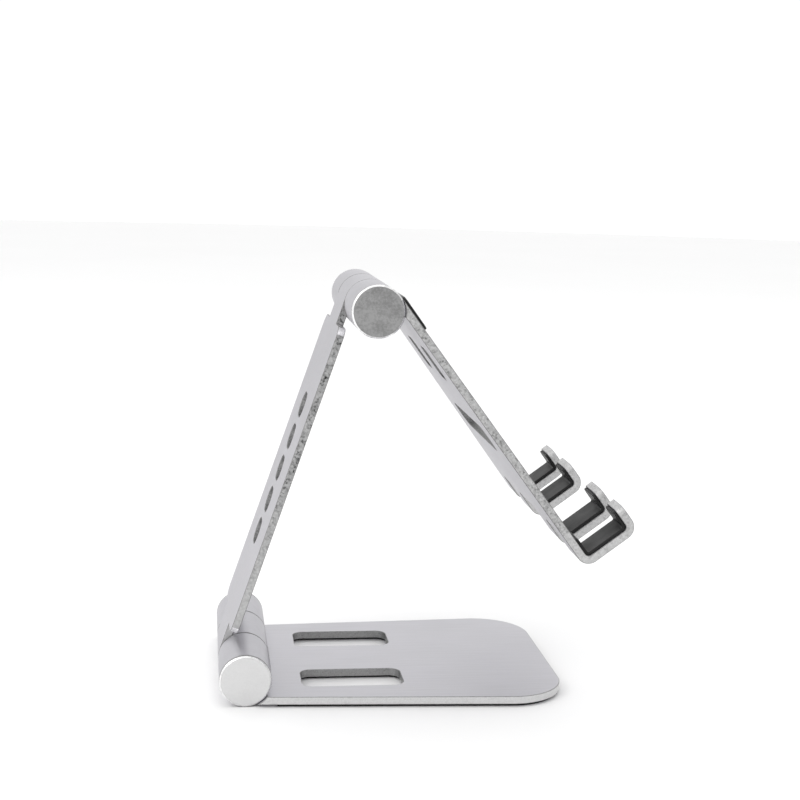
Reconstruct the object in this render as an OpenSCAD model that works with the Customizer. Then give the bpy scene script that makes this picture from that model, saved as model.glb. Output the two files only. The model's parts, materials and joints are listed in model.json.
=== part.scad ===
// Folding tablet stand: a base, an arm and a holder with four fingers, joined by two friction hinges.
// Millimetres. X runs from the lower hinge to the free end of the base, Y along the hinge axes, Z up.
// The origin is the middle of the rubber mat's underside, where the stand meets the table.

/* [Pose at rest] */
// Angle of the arm above the base, in degrees
arm_angle = 71.4; // [50:0.1:100]
// Angle of the holder below the horizontal, in degrees
holder_angle = 53.5; // [35:0.1:80]

/* [Hinges] */
// Outer radius of both hinge barrels
barrel_r = 8.4; // [7.6:0.1:12]
// Length of each barrel, end cap to end cap
barrel_w = 74; // [62:1:100]
// Width of the arm's middle knuckle
knuckle_w = 24.2; // [18:0.2:34]
// Thickness of each friction washer
washer_t = 0.5; // [0.3:0.1:1]
// Radius of the hinge shaft
shaft_r = 3; // [2:0.1:3.4]
// Thickness of the visible flange of an end cap
cap_t = 1.5; // [1:0.1:2.5]

/* [Base] */
// Distance from the lower hinge axis to the free end of the base
base_l = 105; // [90:1:140]
// Thickness of the base plate
base_t = 2.6; // [2:0.1:3.6]
// Width of the base at the hinge
base_hinge_w = 75; // [62:1:104]
// Width of the base at its free end
base_free_w = 86; // [75:1:120]
// Radius of the two corners at the free end
base_corner_r = 18; // [6:1:30]
// Thickness of the rubber mat
mat_t = 1; // [0.6:0.1:1.4]
// Length of the two slots that take the inner fingers
slot_l = 33.6; // [30:0.2:40]
// How far the slots start before the folded holder's fingers reach them
slot_reach = 4.7; // [1:0.1:6]

/* [Arm] */
// Distance between the two hinge axes
arm_l = 125; // [118:1:150]
// Width of the arm's plate
arm_w = 48; // [34:1:60]
// Thickness of the arm's plate
arm_t = 2.5; // [1.5:0.1:3.5]
// Number of slots along the middle of the arm
arm_slots = 5; // [1:1:6]
// Height of each slot, along the arm
arm_slot_h = 8.4; // [5:0.2:9]
// Width of each slot, across the arm
arm_slot_w = 12; // [10:0.5:18]

/* [Holder] */
// Distance from the upper hinge axis to the outside of the ledge
holder_l = 101.5; // [90:0.5:110]
// Thickness of the holder's plate
holder_t = 2.6; // [1.8:0.1:3.2]
// Width of the holder at its hinge
holder_hinge_w = 74; // [70:1:90]
// Width of the holder over its fingers
holder_tip_w = 106; // [98:1:124]
// Room for the tablet between the plate and the lip
ledge_depth = 15.5; // [10:0.5:24]
// Height of the lip above the inside of the ledge
lip_h = 7; // [4:0.5:12]
// Inside radius of the holder's bends
bend_r = 1.5; // [1.2:0.1:3]
// Distance from the middle to the inner side of an inner finger
finger_in_a = 13.2; // [9:0.2:16]
// Distance from the middle to the outer side of an inner finger
finger_in_b = 27.8; // [22:0.2:30]
// Distance from the middle to the inner side of an outer finger
finger_out_a = 40.2; // [36:0.2:46]
// Thickness of the silicone pads
pad_t = 1; // [0.6:0.1:1.4]

/* [Hidden] */
$fn = 96;
eps = 0.05;

// Clearances
face_gap = 0.05;      // between a friction washer and the knuckle on each side of it
shaft_gap = 0.05;     // round a shaft, on the radius
thread_gap = 0.01;    // between a lock nut and its shaft, on the radius
knuckle_gap = 0.7;    // between the arm's knuckle and a plate's cut-out
cap_gap = 0.1;        // between an end cap and the plate beside it
finger_gap = 0.8;     // on each side of a finger that passes through the base
glue_gap = 0.02;      // between a cap's plug and its counterbore
plug_gap = 0.6;       // between a cap's plug and the end of the shaft
tangent_gap = 0.004;  // how far a straight side stays inside the round corner that it meets

// Heights and places at rest
base_drop = 4.9;      // from the hinge axis down to the top of the base plate
lower_x = -base_l / 2;
lower_z = mat_t + base_t + base_drop;
upper_x = lower_x + arm_l * cos(arm_angle);
upper_z = lower_z + arm_l * sin(arm_angle);

// The stack along a hinge, measured from the middle of the barrel
washer_in = knuckle_w / 2 + face_gap;
outer_in = washer_in + washer_t + face_gap;
outer_out = barrel_w / 2 - cap_t;
washer_rim = 0.3;     // how far a friction washer stays inside the barrel
pocket_depth = 9.4;
pocket_wall = 2.3;    // wall of the barrel round a pocket
pocket_r = barrel_r - pocket_wall;
seat_y = outer_out - pocket_depth;
head_t = 3;
head_rim = 2.2;       // from the shaft out to the corners of its hexagonal head
head_r = shaft_r + head_rim;
thrust_t = 0.8;
thrust_rim = 2.4;     // from the shaft out to the edge of the thrust washer
spring_t = 0.6;
spring_rim = 2;       // from the shaft out to the edge of a disc spring
spring_cone = 0.15;   // how far a disc spring is dished
spring_count = 4;
nut_t = 2.2;
nut_y = seat_y + thrust_t + spring_t * spring_count;
shaft_over = 0.4;     // how far the shaft stands out of its lock nut
shaft_end = nut_y + nut_t + shaft_over;
plug_l = outer_out - shaft_end - plug_gap;
cap_chamfer = 0.3;
bush_wall = 1.5;
bush_r = shaft_r + bush_wall;
bush_l = 8;

// Outlines of the base and the arm
plate_cut_x = barrel_r + knuckle_gap;
slot_start = arm_l - holder_l - slot_reach;
slot_a = finger_in_a - finger_gap;
slot_b = finger_in_b + finger_gap;
slot_corner_r = 3.6;
mat_inset = 1.2;
mat_slot_margin = 1.4;
shoulder_gap = 1.1;   // from a barrel to the shoulders of the arm's plate
arm_shoulder = barrel_r + shoulder_gap;
arm_corner_r = 4;
arm_slot_bar = 3;     // metal left between two slots of the arm
arm_slot_pitch = arm_slot_h + arm_slot_bar;

// The holder's section: X along the plate, Z out of its front
plate_z = barrel_r - holder_t;       // back of the plate
ledge_x = holder_l - holder_t;       // inside of the ledge
bend_x = ledge_x - bend_r;           // where the plate ends and the bend starts
lip_z = barrel_r + ledge_depth;      // inside of the lip
lip_corner_r = 3;

// The holder's outline
finger_l = 13;                       // from the root of a gap to the outside of the ledge
gap_root = holder_l - finger_l;
gap_corner_r = 3;
gap_end = holder_l + gap_corner_r;
finger_out_b = holder_tip_w / 2;
fingers = [[-finger_out_b, -finger_out_a], [-finger_in_b, -finger_in_a],
    [finger_in_a, finger_in_b], [finger_out_a, finger_out_b]];
vent_start = 21;
vent_l = 13;
vent_a = 8.5;                        // from the middle to a vent
vent_w = 13;
vent_corner_r = 3;
window_start = 51.5;
window_l = 10;
window_w = 56;
window_corner_r = 4;

// Pads
top_pad_l = 12.5;
top_pad_inset = 1;
top_pad_corner_r = 2;
pad_side = 0.6;                      // how far a pad stays inside the edges of its finger
pad_start = ledge_x - lip_h + pad_side;
pad_bend_min = 0.2;
pad_bend_r = max(bend_r - pad_t, pad_bend_min);

alu = [0.86, 0.86, 0.88];
steel = [0.62, 0.63, 0.65];
black = [0.09, 0.09, 0.1];
polymer = [0.2, 0.2, 0.22];
bronze = [0.66, 0.5, 0.3];

// ---- shared shapes ----

// A rectangle with one radius at all its corners, from (x0, y0) to (x1, y1)
module rounded_rect(x0, y0, x1, y1, r) {
    translate([x0 + r, y0]) square([x1 - x0 - 2 * r, y1 - y0]);
    translate([x0, y0 + r]) square([x1 - x0, y1 - y0 - 2 * r]);
    for (x = [x0 + r, x1 - r])
        for (y = [y0 + r, y1 - r])
            translate([x, y]) circle(r);
}

// A slot of length l and width w with round ends, centred and along X
module obround(l, w) {
    square([l - w, w], center = true);
    for (side = [-1, 1])
        translate([side * (l - w) / 2, 0]) circle(w / 2);
}

// A round bar along Y, from y0 to y1
module bar_y(r, y0, y1) {
    translate([0, y1, 0]) rotate([90, 0, 0]) cylinder(r = r, h = y1 - y0);
}

// A hexagonal bar along Y
module hex_y(r, y0, y1) {
    translate([0, y1, 0]) rotate([90, 0, 0]) cylinder(r = r, h = y1 - y0, $fn = 6);
}

// A profile drawn in X and Z, given a width along Y
module across(y0, y1) {
    translate([0, y1, 0]) rotate([90, 0, 0]) linear_extrude(y1 - y0) children();
}

module at_lower() {
    translate([lower_x, 0, lower_z]) children();
}

// The arm's frame: X from the lower hinge to the upper one, Z out of the arm's outer face
module on_arm() {
    translate([lower_x, 0, lower_z]) rotate([0, -arm_angle, 0]) children();
}

// The holder's frame: X from the upper hinge to the ledge, Z out of the face that the tablet leans on
module on_holder() {
    translate([upper_x, 0, upper_z]) rotate([0, holder_angle, 0]) children();
}

// ---- hinge hardware, drawn in the frame of the body that carries it ----

// The two outer knuckles of a hinge
module outer_knuckles() {
    for (side = [-1, 1])
        bar_y(barrel_r, min(side * outer_in, side * outer_out), max(side * outer_in, side * outer_out));
}

// What is bored out of the outer knuckles: the shaft's bore, the two pockets and the hexagon for the head
module knuckle_bores() {
    bar_y(shaft_r + shaft_gap, -outer_out, outer_out);
    bar_y(pocket_r, seat_y, outer_out + eps);
    bar_y(pocket_r, -outer_out - eps, -seat_y - head_t);
    hex_y(head_r + shaft_gap, -seat_y - head_t - eps, -seat_y);
}

// The room that the arm's knuckle needs in a plate
module knuckle_room() {
    translate([-barrel_r - eps, -outer_in, -barrel_r - eps])
        cube([barrel_r + plate_cut_x + eps, 2 * outer_in, 2 * barrel_r + 2 * eps]);
}

// The room that the two end caps need in a plate
module cap_room() {
    for (side = [-1, 1])
        bar_y(barrel_r + cap_gap, min(side * outer_out, side * barrel_w),
            max(side * outer_out, side * barrel_w));
}

module hinge_shaft() {
    color(steel) {
        hex_y(head_r, -seat_y - head_t, -seat_y);
        bar_y(shaft_r, -seat_y - eps, shaft_end);
    }
}

module ring_y(r_out, r_in, y0, y1) {
    difference() {
        bar_y(r_out, y0, y1);
        bar_y(r_in, y0 - eps, y1 + eps);
    }
}

module friction_washer(side) {
    y = side > 0 ? washer_in : -washer_in - washer_t;
    color(polymer) ring_y(barrel_r - washer_rim, shaft_r + shaft_gap, y, y + washer_t);
}

module thrust_washer() {
    color(steel) ring_y(shaft_r + thrust_rim, shaft_r + shaft_gap, seat_y, seat_y + thrust_t);
}

// Disc springs in series, each a shallow cone and each the other way round from the last
module spring_stack() {
    r_in = shaft_r + shaft_gap;
    r_out = shaft_r + spring_rim;
    color(steel)
    for (i = [0 : spring_count - 1]) {
        lift_in = i % 2 == 0 ? spring_cone : 0;
        lift_out = spring_cone - lift_in;
        translate([0, seat_y + thrust_t + i * spring_t, 0]) rotate([-90, 0, 0])
            rotate_extrude()
                polygon([[r_in, lift_in], [r_out, lift_out], [r_out, spring_t - lift_in],
                    [r_in, spring_t - lift_out]]);
    }
}

module lock_nut() {
    color(steel) difference() {
        hex_y(head_r, nut_y, nut_y + nut_t);
        bar_y(shaft_r + thread_gap, nut_y - eps, nut_y + nut_t + eps);
    }
}

// A turned end cap: a chamfered disc the size of the barrel on a plug that fits the knuckle's pocket
module end_cap(side) {
    color(alu)
    rotate([side > 0 ? -90 : 90, 0, 0])
        rotate_extrude()
            polygon([[0, outer_out - plug_l], [pocket_r - glue_gap, outer_out - plug_l],
                [pocket_r - glue_gap, outer_out], [barrel_r, outer_out],
                [barrel_r, outer_out + cap_t - cap_chamfer], [barrel_r - cap_chamfer, outer_out + cap_t],
                [0, outer_out + cap_t]]);
}

// A plain bush pressed into one end of the arm's knuckle
module bush(side) {
    y = side > 0 ? knuckle_w / 2 - bush_l : -knuckle_w / 2;
    color(bronze) ring_y(bush_r, shaft_r + shaft_gap, y, y + bush_l);
}

// ---- base ----

// Half the width of the base at a distance x from the lower hinge axis
function base_half(x) = (base_hinge_w + (base_free_w - base_hinge_w) * x / base_l) / 2;

// The base's outline from the hinge axis to the free end, all round smaller by inset
module base_outline(inset) {
    r = base_corner_r - inset;
    flare = atan((base_free_w - base_hinge_w) / 2 / base_l);
    corner_x = base_l - base_corner_r;
    corner_y = base_half(base_l) - base_corner_r / cos(flare) - base_corner_r * tan(flare);
    side_r = r - tangent_gap;
    tangent = [corner_x - side_r * sin(flare), corner_y + side_r * cos(flare)];
    start_y = base_half(0) - (inset + tangent_gap) / cos(flare);
    polygon([[0, -start_y], [tangent[0], -tangent[1]], [corner_x, -corner_y], [corner_x + side_r, -corner_y],
        [corner_x + side_r, corner_y], [corner_x, corner_y], [tangent[0], tangent[1]], [0, start_y]]);
    for (side = [-1, 1])
        translate([corner_x, side * corner_y]) circle(r);
}

// The two slots, wider all round by grow
module base_slots(grow) {
    for (side = [-1, 1])
        rounded_rect(slot_start - grow, min(side * slot_a, side * slot_b) - grow,
            slot_start + slot_l + grow, max(side * slot_a, side * slot_b) + grow, slot_corner_r + grow);
}

module base_plate() {
    color(alu)
    difference() {
        union() {
            at_lower() outer_knuckles();
            translate([lower_x, 0, mat_t]) linear_extrude(base_t) base_outline(0);
        }
        at_lower() knuckle_bores();
        at_lower() knuckle_room();
        at_lower() cap_room();
        translate([lower_x, 0, mat_t - eps]) linear_extrude(base_t + 2 * eps) base_slots(0);
    }
}

module base_mat() {
    color(black)
    translate([lower_x, 0, 0]) linear_extrude(mat_t) difference() {
        base_outline(mat_inset);
        translate([-eps, -base_hinge_w]) square([plate_cut_x + mat_inset, 2 * base_hinge_w]);
        base_slots(mat_slot_margin);
    }
}

// ---- arm ----

// The arm's outline: a neck to each hinge and a wider plate with rounded shoulders
module arm_outline() {
    translate([0, -knuckle_w / 2]) square([arm_l, knuckle_w]);
    rounded_rect(arm_shoulder, -arm_w / 2, arm_l - arm_shoulder, arm_w / 2, arm_corner_r);
}

module arm_slot_row() {
    first = (arm_l - arm_slot_pitch * (arm_slots - 1)) / 2;
    for (i = [0 : arm_slots - 1])
        translate([first + i * arm_slot_pitch, 0]) rotate(90) obround(arm_slot_w, arm_slot_h);
}

module arm_plate() {
    color(alu)
    on_arm() difference() {
        union() {
            translate([0, 0, barrel_r - arm_t]) linear_extrude(arm_t) arm_outline();
            for (x = [0, arm_l])
                translate([x, 0, 0]) bar_y(barrel_r, -knuckle_w / 2, knuckle_w / 2);
        }
        for (x = [0, arm_l])
            translate([x, 0, 0]) bar_y(bush_r, -knuckle_w / 2 - eps, knuckle_w / 2 + eps);
        translate([0, 0, barrel_r - arm_t - eps]) linear_extrude(arm_t + 2 * eps) arm_slot_row();
    }
}

// ---- holder ----

// Half the width of the holder at a distance x from the upper hinge axis
function holder_half(x) = min(holder_tip_w,
    holder_hinge_w + (holder_tip_w - holder_hinge_w) * x / gap_root) / 2;

module holder_outline() {
    polygon([[0, -holder_half(0)], [gap_root, -holder_tip_w / 2], [bend_x, -holder_tip_w / 2],
        [bend_x, holder_tip_w / 2], [gap_root, holder_tip_w / 2], [0, holder_half(0)]]);
}

// The space inside a finger's ledge in X and Z from x0 on, smaller by inset on its three sides
module ledge_room(x0, inset, r) {
    x1 = ledge_x - inset;
    z0 = barrel_r + inset;
    z1 = lip_z - inset;
    translate([x0, z0]) square([x1 - r - x0, z1 - z0]);
    translate([x1 - r - eps, z0 + r]) square([r + eps, z1 - z0 - 2 * r]);
    for (z = [z0 + r, z1 - r])
        translate([x1 - r, z]) circle(r);
}

// The section of a finger: the end of the plate, a bend, the ledge and a second bend, without the flat lip
module ledge_profile() {
    difference() {
        ledge_room(gap_root, -holder_t, bend_r + holder_t);
        ledge_room(gap_root - eps, 0, bend_r);
        translate([gap_root - eps, lip_z - eps]) square([bend_x - gap_root + eps, holder_t + 2 * eps]);
    }
}

// The flat part of a lip, with a rounded tip
module lip_outline(y0, y1) {
    tip_x = ledge_x - lip_h;
    translate([tip_x + lip_corner_r, y0]) square([bend_x - tip_x - lip_corner_r, y1 - y0]);
    translate([tip_x, y0 + lip_corner_r]) square([lip_corner_r + eps, y1 - y0 - 2 * lip_corner_r]);
    intersection() {
        translate([tip_x, y0]) square([lip_corner_r, y1 - y0]);
        for (y = [y0 + lip_corner_r, y1 - lip_corner_r])
            translate([tip_x + lip_corner_r, y]) circle(lip_corner_r);
    }
}

// One finger, from the plate to the tip of its lip
module finger(y0, y1) {
    across(y0, y1) ledge_profile();
    translate([0, 0, lip_z]) linear_extrude(holder_t) lip_outline(y0, y1);
}

// The gaps between the fingers, with rounded roots
module finger_gaps() {
    rounded_rect(gap_root, -finger_in_a, gap_end, finger_in_a, gap_corner_r);
    for (side = [-1, 1])
        rounded_rect(gap_root, min(side * finger_in_b, side * finger_out_a), gap_end,
            max(side * finger_in_b, side * finger_out_a), gap_corner_r);
}

module holder_cutouts() {
    for (side = [-1, 1])
        rounded_rect(vent_start, min(side * vent_a, side * (vent_a + vent_w)), vent_start + vent_l,
            max(side * vent_a, side * (vent_a + vent_w)), vent_corner_r);
    rounded_rect(window_start, -window_w / 2, window_start + window_l, window_w / 2, window_corner_r);
}

module holder_plate() {
    color(alu)
    on_holder() difference() {
        union() {
            outer_knuckles();
            translate([0, 0, plate_z]) linear_extrude(holder_t) difference() {
                holder_outline();
                finger_gaps();
                holder_cutouts();
            }
            for (f = fingers)
                finger(f[0], f[1]);
        }
        knuckle_bores();
        knuckle_room();
        cap_room();
    }
}

// A silicone strip on the front face beside the hinge
module top_pad(side) {
    y0 = outer_in + top_pad_inset;
    y1 = holder_half(0) - top_pad_inset;
    color(black)
    on_holder() translate([top_pad_inset, 0, barrel_r]) linear_extrude(pad_t)
        rounded_rect(0, min(side * y0, side * y1), top_pad_l, max(side * y0, side * y1), top_pad_corner_r);
}

// A silicone pad bent to the inside of one finger: plate, ledge and lip
module finger_pad(i) {
    color(black)
    on_holder() across(fingers[i][0] + pad_side, fingers[i][1] - pad_side) difference() {
        ledge_room(pad_start, 0, bend_r);
        ledge_room(pad_start - eps, pad_t, pad_bend_r);
    }
}

// ---- the nodes ----

base_plate();
base_mat();
at_lower() hinge_shaft();  // lower_shaft
at_lower() friction_washer(-1);  // lower_washer_left
at_lower() friction_washer(1);  // lower_washer_right
at_lower() thrust_washer();  // lower_thrust_washer
at_lower() spring_stack();  // lower_spring_stack
at_lower() lock_nut();  // lower_lock_nut
at_lower() end_cap(-1);  // lower_cap_left
at_lower() end_cap(1);  // lower_cap_right
arm_plate();
at_lower() bush(-1);  // lower_bush_left
at_lower() bush(1);  // lower_bush_right
on_arm() translate([arm_l, 0, 0]) bush(-1);  // upper_bush_left
on_arm() translate([arm_l, 0, 0]) bush(1);  // upper_bush_right
holder_plate();
on_holder() hinge_shaft();  // upper_shaft
on_holder() friction_washer(-1);  // upper_washer_left
on_holder() friction_washer(1);  // upper_washer_right
on_holder() thrust_washer();  // upper_thrust_washer
on_holder() spring_stack();  // upper_spring_stack
on_holder() lock_nut();  // upper_lock_nut
on_holder() end_cap(-1);  // upper_cap_left
on_holder() end_cap(1);  // upper_cap_right
top_pad(-1);  // top_pad_left
top_pad(1);  // top_pad_right
finger_pad(0);  // finger_pad_1
finger_pad(1);  // finger_pad_2
finger_pad(2);  // finger_pad_3
finger_pad(3);  // finger_pad_4
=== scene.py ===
import json
from math import atan2, pi, radians
import bpy
from mathutils import Matrix, Vector

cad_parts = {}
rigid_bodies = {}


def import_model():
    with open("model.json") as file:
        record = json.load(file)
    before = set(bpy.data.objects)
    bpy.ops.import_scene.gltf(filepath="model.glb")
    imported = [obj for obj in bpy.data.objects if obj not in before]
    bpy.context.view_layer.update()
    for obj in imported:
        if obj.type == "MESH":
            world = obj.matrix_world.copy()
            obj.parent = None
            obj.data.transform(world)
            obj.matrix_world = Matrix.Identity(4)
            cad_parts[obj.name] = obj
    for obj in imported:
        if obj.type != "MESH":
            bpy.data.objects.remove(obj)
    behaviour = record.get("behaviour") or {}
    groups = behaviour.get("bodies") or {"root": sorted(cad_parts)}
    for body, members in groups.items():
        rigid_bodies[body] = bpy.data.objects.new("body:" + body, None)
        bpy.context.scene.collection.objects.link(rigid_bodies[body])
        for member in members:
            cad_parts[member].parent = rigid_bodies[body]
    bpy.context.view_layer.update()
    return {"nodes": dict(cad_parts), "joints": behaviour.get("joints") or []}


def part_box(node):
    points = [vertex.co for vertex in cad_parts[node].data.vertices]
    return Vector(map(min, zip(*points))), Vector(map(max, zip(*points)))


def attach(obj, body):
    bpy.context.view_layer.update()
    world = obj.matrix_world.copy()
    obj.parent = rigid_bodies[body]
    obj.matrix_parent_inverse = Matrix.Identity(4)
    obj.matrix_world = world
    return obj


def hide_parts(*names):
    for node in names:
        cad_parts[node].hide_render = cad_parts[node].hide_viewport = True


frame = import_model()
print("frame loaded:", len(frame["nodes"]), "nodes")

for name in ("Cube", "Light", "Camera"):  # what a new file starts with
    leftover = bpy.data.objects.get(name)
    if leftover:
        bpy.data.objects.remove(leftover)

mm = 0.001
near = 0.01 * mm  # closer than this counts as the same place

# places that more than one piece needs, from the frame apart from the holder's lean
hinge = {joint["name"]: Vector(joint["pos_m"]) for joint in frame["joints"]}
lowerHinge = hinge["arm_tilt"]
upperHinge = hinge["holder_tilt"]
barrelRadius = (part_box("lower_cap_left")[1].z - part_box("lower_cap_left")[0].z) / 2
armTurn = -atan2(upperHinge.z - lowerHinge.z, upperHinge.x - lowerHinge.x)
holderTurn = radians(53.5)  # the holder leans down towards its ledge by this much
armFrame = Matrix.Translation(lowerHinge) @ Matrix.Rotation(armTurn, 4, "Y")
holderFrame = Matrix.Translation(upperHinge) @ Matrix.Rotation(holderTurn, 4, "Y")
baseFrame = Matrix.Translation(lowerHinge)


# small helpers for node trees, of a material or the world
def addNode(material, kind, inputs=None, **settings):
    tree = material.node_tree
    node = tree.nodes.new("ShaderNode" + kind)
    for key, value in settings.items():
        setattr(node, key, value)
    for key, value in (inputs or {}).items():
        if isinstance(value, bpy.types.NodeSocket):
            tree.links.new(value, node.inputs[key])
        else:
            node.inputs[key].default_value = value
    return node


def startMaterial(name, **values):
    material = bpy.data.materials.new(name)
    material.use_nodes = True
    material.node_tree.nodes.clear()
    shader = addNode(material, "BsdfPrincipled")
    addNode(material, "OutputMaterial", {"Surface": shader.outputs["BSDF"]})
    for key, value in values.items():
        shader.inputs[key.replace("_", " ")].default_value = value
    return material, shader


def objectPlace(material, centre=(0, 0, 0), turn=0, stretch=(1, 1, 1)):
    coords = addNode(material, "TexCoord")
    shifted = addNode(material, "Mapping", {"Vector": coords.outputs["Object"],
                                            "Location": -Vector(centre)})
    turned = addNode(material, "Mapping", {"Vector": shifted.outputs["Vector"], "Rotation": (0, -turn, 0),
                                           "Scale": stretch})
    return turned.outputs["Vector"]


def waveScale(size):
    # a wave moves on by 20 radians for each unit of its scale
    return 1 / size / 20


def noise(material, place, size, detail=2.0, roughness=0.5, distortion=0.0):
    # size is how big one blotch is, in metres
    node = addNode(material, "TexNoise", {"Vector": place, "Scale": 1 / size, "Detail": detail,
                                          "Roughness": roughness, "Distortion": distortion})
    return node.outputs["Fac"]


def spread(material, value, low, high, fromLow=0.3, fromHigh=0.7):
    node = addNode(material, "MapRange", {"Value": value, "From Min": fromLow, "From Max": fromHigh,
                                          "To Min": low, "To Max": high})
    return node.outputs["Result"]


def colours(material, value, stops):
    node = addNode(material, "ValToRGB", {"Fac": value})
    ramp = node.color_ramp
    while len(ramp.elements) < len(stops):
        ramp.elements.new(0.5)
    for element, (place, colour) in zip(ramp.elements, stops):
        element.position = place
        element.color = (*colour, 1)
    return node.outputs["Color"]


def maths(material, operation, first, second):
    node = addNode(material, "Math", {0: first, 1: second}, operation=operation)
    return node.outputs["Value"]


def bump(material, height, depth, strength=1.0, under=None):
    inputs = {"Height": height, "Distance": depth, "Strength": strength}
    if under:
        inputs["Normal"] = under
    return addNode(material, "Bump", inputs).outputs["Normal"]


def plug(material, shader, **sockets):
    for key, socket in sockets.items():
        material.node_tree.links.new(socket, shader.inputs[key.replace("_", " ")])


def grey(value, warm=0.0, violet=0.0):
    # a neutral colour that can lean to red or to violet
    return (value * (1 + warm + violet), value, value * (1 - warm + 1.6 * violet))


def blastedAluminium(name, tone, turn=0, centre=(0, 0, 0)):
    # anodised sheet: a fine blasted grain, faint rolling streaks along the sheet, soft finger marks
    look = {"grain": 0.16 * mm, "grainDepth": 0.012 * mm, "streak": 1.2 * mm, "streakDepth": 0.01 * mm,
            "stretch": (0.06, 1, 1), "marks": 22 * mm, "graze": 0.72, "warm": -0.012}
    material, shader = startMaterial(name, Metallic=1.0, IOR=1.45, Specular_Tint=(*grey(look["graze"]), 1))
    place = objectPlace(material, centre, turn)
    along = objectPlace(material, centre, turn, look["stretch"])
    grain = noise(material, place, look["grain"], 3.0, 0.6)
    streak = noise(material, along, look["streak"], 2.0)
    marks = noise(material, place, look["marks"], 4.0, 0.55, 0.6)
    shade = maths(material, "ADD", spread(material, marks, 0.0, 0.5), spread(material, streak, 0.0, 0.5))
    colour = colours(material, shade, [(0.1, grey(tone * 0.95, look["warm"], 0.022)),
                                       (0.9, grey(tone * 1.03, look["warm"], 0.024))])
    rough = maths(material, "ADD", spread(material, marks, 0.34, 0.46),
                  spread(material, grain, -0.05, 0.06))
    height = bump(material, grain, look["grainDepth"], 0.6)
    height = bump(material, streak, look["streakDepth"], 0.35, height)
    plug(material, shader, Base_Color=colour, Roughness=rough, Normal=height)
    return material


def sawnEdge(name, tone, contrast, fleckSize=0.34 * mm, paintedTableReflection=None):
    # cut edges and openings: coarse torn metal with bright and dark flecks; an optional painted reflection
    # of the table pales the edge near the table
    look = {"tear": 2.6 * fleckSize, "pit": 0.2 * mm, "depth": 0.03 * mm}
    material, shader = startMaterial(name, Metallic=1.0, IOR=1.45)
    place = objectPlace(material)
    flecks = addNode(material, "TexVoronoi", {"Vector": place, "Scale": 1 / fleckSize, "Randomness": 1.0})
    tear = noise(material, place, look["tear"], 4.0, 0.7)
    pit = noise(material, place, look["pit"], 2.0, 0.6)
    shade = maths(material, "ADD", maths(material, "MULTIPLY", flecks.outputs["Color"], 0.55),
                  spread(material, tear, 0.0, 0.45))
    colour = colours(material, shade, [(0.1, grey(tone * (1 - contrast))), (0.45, grey(tone)),
                                       (0.9, grey(tone * (1 + 0.6 * contrast)))])
    # painted reflection: below the given height the colour fades to a pale tone, standing in for the white
    # table seen in the edge
    if paintedTableReflection:
        heights = addNode(material, "SeparateXYZ", {"Vector": place}).outputs["Z"]
        pale = spread(material, heights, 1.0, 0.0, paintedTableReflection["full"], paintedTableReflection["gone"])
        colour = addNode(material, "MixRGB", {"Fac": pale, "Color1": colour,
                                              "Color2": (*grey(paintedTableReflection["tone"]), 1)}).outputs["Color"]
    rough = spread(material, flecks.outputs["Distance"], 0.28, 0.55, 0.0, 0.6)
    height = bump(material, flecks.outputs["Distance"], look["depth"], 0.5)
    height = bump(material, pit, look["depth"], 0.6, height)
    plug(material, shader, Base_Color=colour, Roughness=rough, Normal=height)
    return material


def glintAndNickRim(name, tone):
    # the arm's shoulders and the chamfers of the caps: a near-white tone as painted highlight, with small
    # dull nicks
    look = {"nick": 1.6 * mm, "scratch": 0.25 * mm, "scratchDepth": 0.008 * mm}
    material, shader = startMaterial(name, Metallic=1.0, IOR=1.45)
    place = objectPlace(material)
    nick = noise(material, place, look["nick"], 5.0, 0.7)
    scratch = noise(material, place, look["scratch"], 2.0)
    colour = colours(material, nick, [(0.38, grey(tone * 0.78)), (0.5, grey(tone)),
                                      (0.8, grey(tone * 1.05))])
    rough = maths(material, "ADD", spread(material, nick, 0.36, 0.16),
                  spread(material, scratch, -0.03, 0.05))
    plug(material, shader, Base_Color=colour, Roughness=rough,
         Normal=bump(material, scratch, look["scratchDepth"], 0.4))
    return material


def turnedMetal(name, tone, centre, roughLow, roughHigh, mottle):
    # lathe marks run in rings round the hinge axis
    look = {"ring": 0.22 * mm, "ringDepth": 0.004 * mm, "fleck": 0.3 * mm, "fleckDepth": 0.006 * mm,
            "marks": 4.5 * mm, "speckle": 0.8 * mm}
    material, shader = startMaterial(name, Metallic=1.0, IOR=1.45)
    place = objectPlace(material, centre)
    rings = addNode(material, "TexWave", {"Vector": place, "Scale": waveScale(look["ring"]),
                                          "Distortion": 0.4, "Detail": 3.0, "Detail Scale": 2.0},
                    wave_type="RINGS", rings_direction="Y")
    fleck = noise(material, place, look["fleck"], 2.0, 0.6)
    marks = noise(material, place, look["marks"], 3.0, 0.6)
    speckle = noise(material, place, look["speckle"], 4.0, 0.75)
    cloud = maths(material, "ADD", spread(material, marks, 0.0, 0.5), spread(material, speckle, 0.0, 0.5))
    colour = colours(material, cloud, [(0.3, grey(tone * (1 - mottle))),
                                       (0.7, grey(tone * (1 + 0.8 * mottle)))])
    rough = maths(material, "ADD", spread(material, marks, roughLow, roughHigh),
                  spread(material, fleck, -0.05, 0.05))
    height = bump(material, rings.outputs["Fac"], look["ringDepth"], 0.5)
    height = bump(material, fleck, look["fleckDepth"], 0.5, height)
    plug(material, shader, Base_Color=colour, Roughness=rough, Normal=height)
    return material


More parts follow.
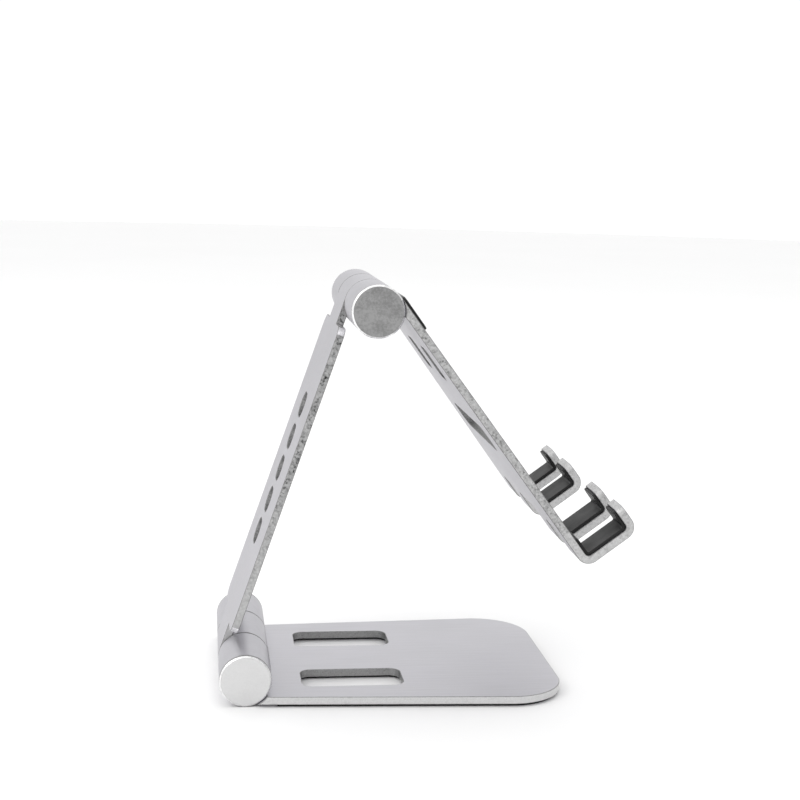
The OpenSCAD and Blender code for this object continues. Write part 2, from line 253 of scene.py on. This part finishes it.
def blackRubber(name, tone, grainSize, grainDepth, dull):
    # moulded rubber: fine pebble grain, slightly shinier where it is handled, with specks of dust
    look = {"patch": 9 * mm, "dust": 0.5 * mm}
    material, shader = startMaterial(name, IOR=1.42, Specular_IOR_Level=0.3)
    place = objectPlace(material)
    pebble = addNode(material, "TexVoronoi", {"Vector": place, "Scale": 1 / grainSize, "Smoothness": 0.6},
                     feature="SMOOTH_F1")
    patch = noise(material, place, look["patch"], 4.0, 0.6)
    dust = noise(material, place, look["dust"], 6.0, 0.75)
    colour = colours(material, maths(material, "ADD", spread(material, patch, 0.0, 0.4),
                                     spread(material, dust, 0.0, 0.6, 0.55, 0.8)),
                     [(0.0, grey(tone * 0.8)), (0.5, grey(tone * 1.15)), (1.0, grey(tone * 2.4, 0.03))])
    rough = spread(material, patch, dull + 0.12, dull - 0.05)
    height = bump(material, pebble.outputs["Distance"], grainDepth, 0.7)
    plug(material, shader, Base_Color=colour, Roughness=rough, Normal=height)
    return material


def machinedSteel(name, tone, centre, warm=0.0, oil=0.0):
    # tool marks along the hinge axis under a thin film of oil
    look = {"tool": 0.5 * mm, "toolDepth": 0.006 * mm, "stain": 3 * mm, "coatRough": 0.2}
    material, shader = startMaterial(name, Metallic=1.0, IOR=1.5, Coat_Weight=oil,
                                     Coat_Roughness=look["coatRough"])
    place = objectPlace(material, centre)
    tool = addNode(material, "TexWave", {"Vector": place, "Scale": waveScale(look["tool"]),
                                         "Distortion": 1.0, "Detail": 2.0},
                   wave_type="BANDS", bands_direction="Y")
    stain = noise(material, place, look["stain"], 5.0, 0.65)
    colour = colours(material, stain, [(0.3, grey(tone * 0.82, warm)), (0.7, grey(tone * 1.05, warm))])
    rough = spread(material, stain, 0.24, 0.4)
    plug(material, shader, Base_Color=colour, Roughness=rough,
         Normal=bump(material, tool.outputs["Fac"], look["toolDepth"], 0.4))
    return material


def sinteredBronze(name, centre):
    # pressed powder with open pores
    look = {"pore": 0.18 * mm, "poreDepth": 0.02 * mm, "stain": 2.5 * mm,
            "dark": (0.36, 0.22, 0.1), "light": (0.56, 0.38, 0.19)}
    material, shader = startMaterial(name, Metallic=1.0, IOR=1.5)
    place = objectPlace(material, centre)
    pores = addNode(material, "TexVoronoi", {"Vector": place, "Scale": 1 / look["pore"]})
    stain = noise(material, place, look["stain"], 4.0, 0.6)
    colour = colours(material, stain, [(0.3, look["dark"]), (0.7, look["light"])])
    rough = spread(material, pores.outputs["Distance"], 0.55, 0.34, 0.0, 0.5)
    plug(material, shader, Base_Color=colour, Roughness=rough,
         Normal=bump(material, pores.outputs["Distance"], look["poreDepth"], 0.6))
    return material


def washerPolymer(name, centre):
    # a dark low-wear plastic, rubbed in rings by the knuckles
    look = {"rub": 0.35 * mm, "rubDepth": 0.01 * mm, "patch": 3 * mm,
            "dark": (0.03, 0.03, 0.034), "light": (0.06, 0.06, 0.065)}
    material, shader = startMaterial(name, IOR=1.5, Specular_IOR_Level=0.4)
    place = objectPlace(material, centre)
    rub = addNode(material, "TexWave", {"Vector": place, "Scale": waveScale(look["rub"]),
                                        "Distortion": 0.6, "Detail": 2.0},
                  wave_type="RINGS", rings_direction="Y")
    patch = noise(material, place, look["patch"], 4.0, 0.6)
    colour = colours(material, patch, [(0.3, look["dark"]), (0.7, look["light"])])
    rough = spread(material, patch, 0.4, 0.55)
    plug(material, shader, Base_Color=colour, Roughness=rough,
         Normal=bump(material, rub.outputs["Fac"], look["rubDepth"], 0.4))
    return material


# the finishes that the pieces share
skinTone = 0.6
skins = {"base": blastedAluminium("baseSkin", skinTone),
         "arm": blastedAluminium("armSkin", skinTone, armTurn, lowerHinge),
         "holder": blastedAluminium("holderSkin", skinTone, holderTurn, upperHinge)}
# painted reflection of the white table on the arm's cut edge, fading out with height
armTableReflection = {"tone": 0.56, "full": 12 * mm, "gone": 70 * mm}  # heights above the table
# one sawn finish in lit and shaded copies: the base's edge painted lighter, the arm's and the holder's
# painted darker
cutEdges = {"base": sawnEdge("baseEdge", 0.66, 0.1),
            "arm": sawnEdge("armEdge", 0.32, 1.0, 0.7 * mm, armTableReflection),
            "holder": sawnEdge("holderEdge", 0.42, 0.7, 0.55 * mm)}
# the walls of slots and openings: darker copies of the cut edges, as painted shade in the recesses
shadedSlotWalls = {"base": sawnEdge("baseSlotWallShade", 0.34, 0.3),
             "arm": sawnEdge("armSlotWallShade", 0.3, 0.5),
             "holder": sawnEdge("holderSlotWallShade", 0.24, 0.4)}
# a lighter copy of the holder's cut edge on the fingers: painted light
fingerEdge = sawnEdge("fingerEdge", 0.52, 0.3, 0.5 * mm)
# near-white tone: painted highlight on the caps' chamfers and the arm's shoulders
glintRim = glintAndNickRim("glintRim", 0.9)
lowerCapMetal = turnedMetal("lowerCapFace", 0.68, lowerHinge, 0.3, 0.42, 0.025)
# the upper caps: a darker copy of the lower caps' turned finish, as painted shade
shadedUpperCapMetal = turnedMetal("upperCapFaceShaded", 0.3, upperHinge, 0.36, 0.5, 0.2)
# the band behind the lower caps' chamfer, round their parting groove: painted shade
shadedCapBand = turnedMetal("shadedCapBand", 0.2, lowerHinge, 0.3, 0.4, 0.2)
padSilicone = blackRubber("padSilicone", 0.012, 0.22 * mm, 0.012 * mm, 0.42)
matRubber = blackRubber("matRubber", 0.02, 0.5 * mm, 0.05 * mm, 0.62)
print("materials made:", len(bpy.data.materials))


# tools for shaping a piece
shaping = {"weld": 0.002 * mm, "flatUnder": radians(0.4), "smoothUnder": radians(50), "faceWeight": 80}


def deselectAll():
    bpy.ops.object.select_all(action="DESELECT")


def pickFaces(piece, test):
    # leaves the piece in edit mode with only the faces that pass the test selected
    bpy.ops.object.mode_set(mode="EDIT")
    bpy.ops.mesh.select_mode(type="FACE")
    bpy.ops.mesh.select_all(action="DESELECT")
    bpy.ops.object.mode_set(mode="OBJECT")
    for face in piece.data.polygons:
        face.select = test(face)
    bpy.ops.object.mode_set(mode="EDIT")


def pickEdges(piece, test):
    # the same for edges, by the places of their two ends
    bpy.ops.object.mode_set(mode="EDIT")
    bpy.ops.mesh.select_mode(type="EDGE")
    bpy.ops.mesh.select_all(action="DESELECT")
    bpy.ops.object.mode_set(mode="OBJECT")
    points = piece.data.vertices
    for edge in piece.data.edges:
        first, second = (points[i].co for i in edge.vertices)
        edge.select = test(first, second)
    bpy.ops.object.mode_set(mode="EDIT")


def applyAll(piece):
    for modifier in list(piece.modifiers):
        bpy.ops.object.modifier_apply(modifier=modifier.name)


def evenNormals(piece):
    # flat faces stay flat beside their rounded edges
    bpy.ops.object.shade_smooth_by_angle(angle=shaping["smoothUnder"])
    weighted = piece.modifiers.new("evenNormals", "WEIGHTED_NORMAL")
    weighted.keep_sharp = True
    weighted.weight = shaping["faceWeight"]
    applyAll(piece)


def softenEdges(piece, width, segments, angle=32, rim=-1):
    # rounds every edge sharper than the angle, together with any modifier that is already there
    bevel = piece.modifiers.new("softEdge", "BEVEL")
    bevel.width = width
    bevel.segments = segments
    bevel.limit_method = "ANGLE"
    bevel.angle_limit = radians(angle)
    bevel.material = rim
    bevel.use_clamp_overlap = False
    applyAll(piece)
    evenNormals(piece)


def copyOfNode(nodeName, pieceName):
    # a merged copy of a CAD mesh, free to be worked on
    deselectAll()
    source = frame["nodes"][nodeName]
    source.select_set(True)
    bpy.context.view_layer.objects.active = source
    bpy.ops.object.duplicate()
    piece = bpy.context.active_object
    piece.name = pieceName
    piece.data.name = pieceName
    bpy.ops.object.parent_clear(type="CLEAR")
    for key in list(piece.keys()):
        del piece[key]
    piece.data.materials.clear()
    bpy.ops.mesh.customdata_custom_splitnormals_clear()
    bpy.ops.object.mode_set(mode="EDIT")
    bpy.ops.mesh.select_all(action="SELECT")
    bpy.ops.mesh.remove_doubles(threshold=shaping["weld"])
    bpy.ops.mesh.dissolve_limited(angle_limit=shaping["flatUnder"])
    bpy.ops.object.mode_set(mode="OBJECT")
    return piece


def setInPlace(piece, body, slotName, *replaced):
    # from a piece's own frame to the stand's: its object ends at the origin, unturned
    bpy.ops.object.transform_apply(location=True, rotation=True, scale=True)
    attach(piece, body)
    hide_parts(*replaced)


# the three aluminium plates
plateLook = {"rimWidth": 0.2 * mm, "rimSegments": 3, "barrelReach": 1.02}
# the places of a plate's materials on its mesh
skinIndex, edgeIndex, shadedWallIndex, fingerIndex, rimIndex = 0, 1, 2, 3, 4


def platePiece(nodeName, pieceName, body, kindOfFace):
    piece = copyOfNode(nodeName, pieceName)
    for material in (skins[body], cutEdges[body], shadedSlotWalls[body], fingerEdge, glintRim):
        piece.data.materials.append(material)
    for face in piece.data.polygons:
        face.material_index = kindOfFace(face.center, face.normal)
    # the rounded rims take the darker wall finish, a painted shade line along every edge
    softenEdges(piece, plateLook["rimWidth"], plateLook["rimSegments"], rim=shadedWallIndex)
    setInPlace(piece, body, "anodised_aluminium", nodeName)
    print(pieceName, "faces:", len(piece.data.polygons))


def nowhere(*place):
    return False


def facesBeside(placeFrame, barrels, isSheetFace, isWall, onFinger=nowhere, onShoulder=nowhere):
    # a face is skin on a barrel and on the sheet's wide sides, else it is a cut edge or an opening's wall,
    # the wall painted in shade
    back = placeFrame.inverted()
    turnBack = back.to_3x3()

    def kindOfFace(centre, normal):
        place = back @ centre
        facing = turnBack @ normal
        for along in barrels:
            fromAxis = Vector((place.x - along, 0, place.z)).length
            if fromAxis < barrelRadius * plateLook["barrelReach"] and abs(facing.y) < 0.5:
                return skinIndex
        if isSheetFace(place, facing):
            return skinIndex
        if onFinger(place):
            return fingerIndex
        if onShoulder(place, facing):
            return rimIndex
        return shadedWallIndex if isWall(place) else edgeIndex

    return kindOfFace


def wideSide(place, facing):
    return abs(facing.z) > 0.5


armLength = (upperHinge - lowerHinge).length
armSize = {"slotSide": 7 * mm, "slotStart": 0.2 * armLength, "slotEnd": 0.8 * armLength,
           "neckSide": 11 * mm}
holderSize = {"ledge": 101.5 * mm, "sheet": 2.6 * mm, "room": 15.5 * mm, "bend": 1.5 * mm,
              "openSide": 34 * mm, "openStart": 18 * mm, "openEnd": 70 * mm, "gapRoot": 86 * mm,
              "halfWidth": 52.9 * mm}
holderBendStart = holderSize["ledge"] - 2 * holderSize["sheet"]
baseSize = {"slotIn": 12 * mm, "slotOut": 29 * mm, "slotStart": 18 * mm, "slotEnd": 54 * mm}


def inBaseSlot(place):
    return (baseSize["slotIn"] < abs(place.y) < baseSize["slotOut"]
            and baseSize["slotStart"] < place.x < baseSize["slotEnd"])


def inArmSlot(place):
    return abs(place.y) < armSize["slotSide"] and armSize["slotStart"] < place.x < armSize["slotEnd"]


def onArmShoulder(place, facing):
    # the rounded shoulders take the painted highlight
    return abs(facing.x) > 0.45 and abs(place.y) > armSize["neckSide"]


def inHolderOpening(place):
    return (abs(place.y) < holderSize["openSide"]
            and holderSize["openStart"] < place.x < holderSize["openEnd"])


def onHolderFinger(place):
    # the outermost edges count as the plate's own until the bend
    return (place.x > holderSize["gapRoot"] and abs(place.y) < holderSize["halfWidth"]
            or place.x > holderBendStart)


def holderSheet(place, facing):
    # on the ledge and the lip the sheet has turned, so its wide sides face along X there
    onLedge = place.x > holderSize["ledge"] - holderSize["sheet"] - 2.2 * holderSize["bend"]
    beyondPlate = place.z > barrelRadius + 0.1 * mm or place.x > holderBendStart
    if onLedge and beyondPlate:
        return abs(facing.y) < 0.5
    return wideSide(place, facing)


platePiece("base_plate", "baseBody", "base", facesBeside(baseFrame, [0], wideSide, inBaseSlot))
platePiece("arm_plate", "armBody", "arm",
           facesBeside(armFrame, [0, armLength], wideSide, inArmSlot, onShoulder=onArmShoulder))
platePiece("holder_plate", "holderBody", "holder",
           facesBeside(holderFrame, [0], holderSheet, inHolderOpening, onHolderFinger))


# end caps
capSize = {"flange": 1.5 * mm, "plugRadius": 6.08 * mm, "shy": 0.01 * mm, "chamfer": 0.5 * mm,
           "groove": 0.3 * mm, "grooveDepth": 0.7 * mm, "border": 0.05 * mm, "edge": 0.08 * mm,
           "edgeSegments": 2, "edgeAngle": 20, "sides": 96}


def makeCap(nodeName, pieceName, body, centre, metal, band):
    low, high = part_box(nodeName)
    side = 1 if low.y > 0 else -1
    outer = high.y if side > 0 else -low.y
    inner = low.y if side > 0 else -high.y
    deselectAll()
    disc = capSize["flange"] - capSize["groove"]
    middle = (centre.x, side * (outer - disc / 2), centre.z)
    bpy.ops.mesh.primitive_cylinder_add(vertices=capSize["sides"], radius=barrelRadius - capSize["shy"],
                                        depth=disc, location=middle, rotation=(-side * pi / 2, 0, 0))
    piece = bpy.context.active_object
    piece.name = pieceName
    piece.data.name = pieceName
    # the cylinder's own Z now points out of the barrel
    pickFaces(piece, lambda face: face.normal.z < -0.9)
    # on the lower caps the groove's walls take the band's painted shade
    bpy.ops.mesh.inset(thickness=capSize["grooveDepth"])  # the dark parting groove behind the disc
    bpy.ops.mesh.extrude_region_move(TRANSFORM_OT_translate={"value": (0, -side * capSize["groove"], 0)})
    bpy.ops.mesh.inset(thickness=barrelRadius - capSize["grooveDepth"] - capSize["plugRadius"])
    plugLength = outer - capSize["flange"] - inner
    bpy.ops.mesh.extrude_region_move(TRANSFORM_OT_translate={"value": (0, -side * plugLength, 0)})
    pickEdges(piece, lambda a, b: min(a.z, b.z) > disc / 2 - near)
    bpy.ops.mesh.bevel(offset=capSize["chamfer"], segments=1, affect="EDGES")
    pickFaces(piece, lambda face: face.normal.z > 0.9)
    bpy.ops.mesh.inset(thickness=capSize["border"])
    bpy.ops.object.mode_set(mode="OBJECT")
    for material in (metal, glintRim, band):
        piece.data.materials.append(material)
    for face in piece.data.polygons:
        # the flat face, the chamfer round it with its painted highlight, and the band behind the chamfer,
        # which carries painted shade on the lower caps and painted highlight on the upper caps
        face.material_index = 0 if abs(face.normal.z) > 0.9 else 1 if face.normal.z > 0.3 else 2
    softenEdges(piece, capSize["edge"], capSize["edgeSegments"], capSize["edgeAngle"])
    setInPlace(piece, body, "cap_aluminium", nodeName)


for side in ("left", "right"):
    makeCap("lower_cap_" + side, "lowerCap" + side.title(), "base", lowerHinge, lowerCapMetal, shadedCapBand)
    # the upper caps' band takes the painted highlight too
    makeCap("upper_cap_" + side, "upperCap" + side.title(), "holder", upperHinge, shadedUpperCapMetal, glintRim)
print("caps made")


# both kinds of silicone pad are shaped in the holder's own frame
def finishPad(piece, pieceName, nodeName):
    piece.name = pieceName
    piece.data.name = pieceName
    piece.data.materials.append(padSilicone)
    piece.location = upperHinge
    piece.rotation_euler = (0, holderTurn, 0)
    setInPlace(piece, "holder", "pad_silicone", nodeName)


# silicone pads on the fingers, whose sides are given in millimetres
padSize = {"thick": 0.97 * mm, "side": 0.6 * mm, "lip": 7 * mm, "corner": 2 * mm, "edge": 0.3 * mm,
           "edgeSegments": 3, "edgeAngle": 50, "turnSteps": 6, "cornerSegments": 6,
           "fingers": ((-53, -40.2), (-27.8, -13.2), (13.2, 27.8), (40.2, 53))}


def makeFingerPad(index, yLow, yHigh):
    bend = holderSize["bend"]
    insideX = holderSize["ledge"] - holderSize["sheet"]
    bendX = insideX - bend
    startX = insideX - padSize["lip"] + padSize["side"]
    lipZ = barrelRadius + holderSize["room"]
    deselectAll()
    middle = ((startX + bendX) / 2, (yLow + yHigh) / 2, barrelRadius)
    bpy.ops.mesh.primitive_plane_add(size=1, location=middle)
    piece = bpy.context.active_object
    piece.scale = (bendX - startX, yHigh - yLow, 1)
    bpy.ops.object.transform_apply(location=True, rotation=True, scale=True)
    pickEdges(piece, lambda a, b: min(a.x, b.x) > bendX - near)
    bpy.ops.mesh.spin(steps=padSize["turnSteps"], angle=pi / 2, center=(bendX, 0, barrelRadius + bend),
                      axis=(0, 1, 0))
    pickEdges(piece, lambda a, b: min(a.z, b.z) > barrelRadius + bend - near)
    bpy.ops.mesh.extrude_region_move(
        TRANSFORM_OT_translate={"value": (0, 0, holderSize["room"] - 2 * bend)})
    pickEdges(piece, lambda a, b: min(a.z, b.z) > lipZ - bend - near)
    bpy.ops.mesh.spin(steps=padSize["turnSteps"], angle=pi / 2, center=(bendX, 0, lipZ - bend),
                      axis=(0, 1, 0))
    pickEdges(piece, lambda a, b: min(a.z, b.z) > lipZ - near)
    bpy.ops.mesh.extrude_region_move(TRANSFORM_OT_translate={"value": (startX - bendX, 0, 0)})
    bpy.ops.mesh.select_all(action="SELECT")
    bpy.ops.mesh.remove_doubles(threshold=near)
    bpy.ops.mesh.normals_make_consistent(inside=False)
    # round the two free ends
    pickEdges(piece, lambda a, b: max(a.x, b.x) < startX + near)
    bpy.ops.mesh.bevel(offset=padSize["corner"], segments=padSize["cornerSegments"], affect="VERTICES")
    bpy.ops.object.mode_set(mode="OBJECT")
    facing = min(piece.data.polygons, key=lambda face: face.center.z).normal.z
    wall = piece.modifiers.new("wall", "SOLIDIFY")
    wall.thickness = padSize["thick"]
    wall.offset = 1 if facing > 0 else -1
    softenEdges(piece, padSize["edge"], padSize["edgeSegments"], padSize["edgeAngle"])
    finishPad(piece, "fingerPad" + str(index), "finger_pad_" + str(index))


for index, (yLow, yHigh) in enumerate(padSize["fingers"], 1):
    makeFingerPad(index, yLow * mm + padSize["side"], yHigh * mm - padSize["side"])
print("finger pads made")


# silicone pads beside the upper hinge
topPadSize = {"start": 1 * mm, "length": 12.5 * mm, "thick": 0.97 * mm, "corner": 2 * mm,
              "cornerSegments": 8, "edge": 0.32 * mm, "edgeSegments": 4}


def makeTopPad(side):
    low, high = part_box("top_pad_" + side)
    middle = (topPadSize["start"] + topPadSize["length"] / 2, (low.y + high.y) / 2,
              barrelRadius + topPadSize["thick"] / 2)
    deselectAll()
    bpy.ops.mesh.primitive_cube_add(size=1, location=middle)
    piece = bpy.context.active_object
    piece.scale = (topPadSize["length"], high.y - low.y, topPadSize["thick"])
    bpy.ops.object.transform_apply(location=True, rotation=True, scale=True)
    pickEdges(piece, lambda a, b: abs(a.z - b.z) > topPadSize["thick"] / 2)
    bpy.ops.mesh.bevel(offset=topPadSize["corner"], segments=topPadSize["cornerSegments"], affect="EDGES")
    pickFaces(piece, lambda face: face.normal.z > 0.9)
    bpy.ops.mesh.bevel(offset=topPadSize["edge"], segments=topPadSize["edgeSegments"], affect="EDGES")
    bpy.ops.object.mode_set(mode="OBJECT")
    evenNormals(piece)
    finishPad(piece, "topPad" + side.title(), "top_pad_" + side)


for side in ("left", "right"):
    makeTopPad(side)
print("top pads made")


# rubber mat
matLook = {"edge": 0.18 * mm, "edgeSegments": 2}
matPiece = copyOfNode("base_mat", "baseMat")
matPiece.data.materials.append(matRubber)
softenEdges(matPiece, matLook["edge"], matLook["edgeSegments"])
setInPlace(matPiece, "base", "mat_rubber", "base_mat")
print("mat made")


# finishes for the hinge parts, which keep their CAD shapes
hingeLook = {"steel": 0.5, "steelOil": 0.3, "spring": 0.3, "springOil": 0.5, "springWarm": -0.03}


def finishHinge(prefix, centre):
    steel = machinedSteel(prefix + "Steel", hingeLook["steel"], centre, oil=hingeLook["steelOil"])
    spring = machinedSteel(prefix + "SpringSteel", hingeLook["spring"], centre, hingeLook["springWarm"],
                           hingeLook["springOil"])
    bronze = sinteredBronze(prefix + "Bronze", centre)
    polymer = washerPolymer(prefix + "Polymer", centre)
    finishes = {"shaft": steel, "thrust_washer": steel, "lock_nut": steel, "spring_stack": spring,
                "bush_left": bronze, "bush_right": bronze, "washer_left": polymer, "washer_right": polymer}
    for part, material in finishes.items():
        node = frame["nodes"][prefix + "_" + part]
        node.data.materials.clear()
        node.data.materials.append(material)


finishHinge("lower", lowerHinge)
finishHinge("upper", upperHinge)
print("hinge parts finished")


# floor
floorLook = {"radius": 4.0, "tone": 0.94, "sides": 96, "cloud": 0.3, "tooth": 1.5 * mm}


def makeFloor():
    deselectAll()
    bpy.ops.mesh.primitive_circle_add(vertices=floorLook["sides"], radius=floorLook["radius"],
                                      fill_type="NGON", location=(0, 0, 0))
    floor = bpy.context.active_object
    floor.name = "studioFloor"
    material, shader = startMaterial("floorPaper", IOR=1.4, Specular_IOR_Level=0.2)
    place = objectPlace(material)
    cloud = noise(material, place, floorLook["cloud"], 3.0)
    tooth = noise(material, place, floorLook["tooth"], 2.0)
    tone = floorLook["tone"]
    colour = colours(material, cloud, [(0.2, grey(tone)), (0.8, grey(tone * 1.02))])
    plug(material, shader, Base_Color=colour, Roughness=spread(material, tooth, 0.55, 0.7))
    floor.data.materials.append(material)


makeFloor()


# light and camera
lights = {
    "keyLight": {"place": (-0.9, -0.5, 0.9), "size": 0.8, "watts": 3.5, "colour": (1.0, 0.99, 0.98)},
    "fillLight": {"place": (0.9, -0.9, 0.5), "size": 0.9, "watts": 1.2, "colour": (0.98, 0.985, 1.0)},
    "topLight": {"place": (0.1, 0.6, 1.3), "size": 1.2, "watts": 2.5, "colour": (1.0, 1.0, 1.0)},
}
lightTarget = Vector((0, 0, 60 * mm))
for name, values in lights.items():
    light = bpy.data.lights.new(name, "AREA")
    light.shape = "SQUARE"
    light.size = values["size"]
    light.energy = values["watts"]
    light.color = values["colour"]
    lamp = bpy.data.objects.new(name, light)
    bpy.context.scene.collection.objects.link(lamp)
    lamp.location = values["place"]
    lamp.rotation_euler = (lightTarget - Vector(values["place"])).to_track_quat("-Z", "Y").to_euler()

world = bpy.data.worlds.new("softRoom")
world.use_nodes = True
background = world.node_tree.nodes["Background"]
background.inputs["Color"].default_value = (1.0, 1.0, 1.0, 1)
# a white room that falls off softly to the front right, behind the camera
roomLook = {"dimSide": (0.86, -0.5, -0.1), "from": 0.35, "to": 0.95, "bright": 1.06, "dim": 0.55}
roomCoords = addNode(world, "TexCoord")
towardsDim = addNode(world, "VectorMath", {0: roomCoords.outputs["Generated"], 1: roomLook["dimSide"]},
                     operation="DOT_PRODUCT")
strength = spread(world, towardsDim.outputs["Value"], roomLook["bright"], roomLook["dim"],
                  roomLook["from"], roomLook["to"])
world.node_tree.links.new(strength, background.inputs["Strength"])
bpy.context.scene.world = world

# the turn is in degrees, the lens and the sensor in millimetres
cameraLook = {"place": (-0.067, -0.4882, 0.1701), "turn": (81.183, -1.498, -7.547), "lens": 66.32,
              "sensor": 36, "nearest": 0.01}
cameraData = bpy.data.cameras.new("view")
cameraData.lens = cameraLook["lens"]
cameraData.sensor_width = cameraLook["sensor"]
cameraData.clip_start = cameraLook["nearest"]
camera = bpy.data.objects.new("view", cameraData)
camera.location = cameraLook["place"]
camera.rotation_euler = [radians(angle) for angle in cameraLook["turn"]]
bpy.context.scene.collection.objects.link(camera)
bpy.context.scene.camera = camera
bpy.context.scene.view_settings.view_transform = "Standard"
print("light and camera set")
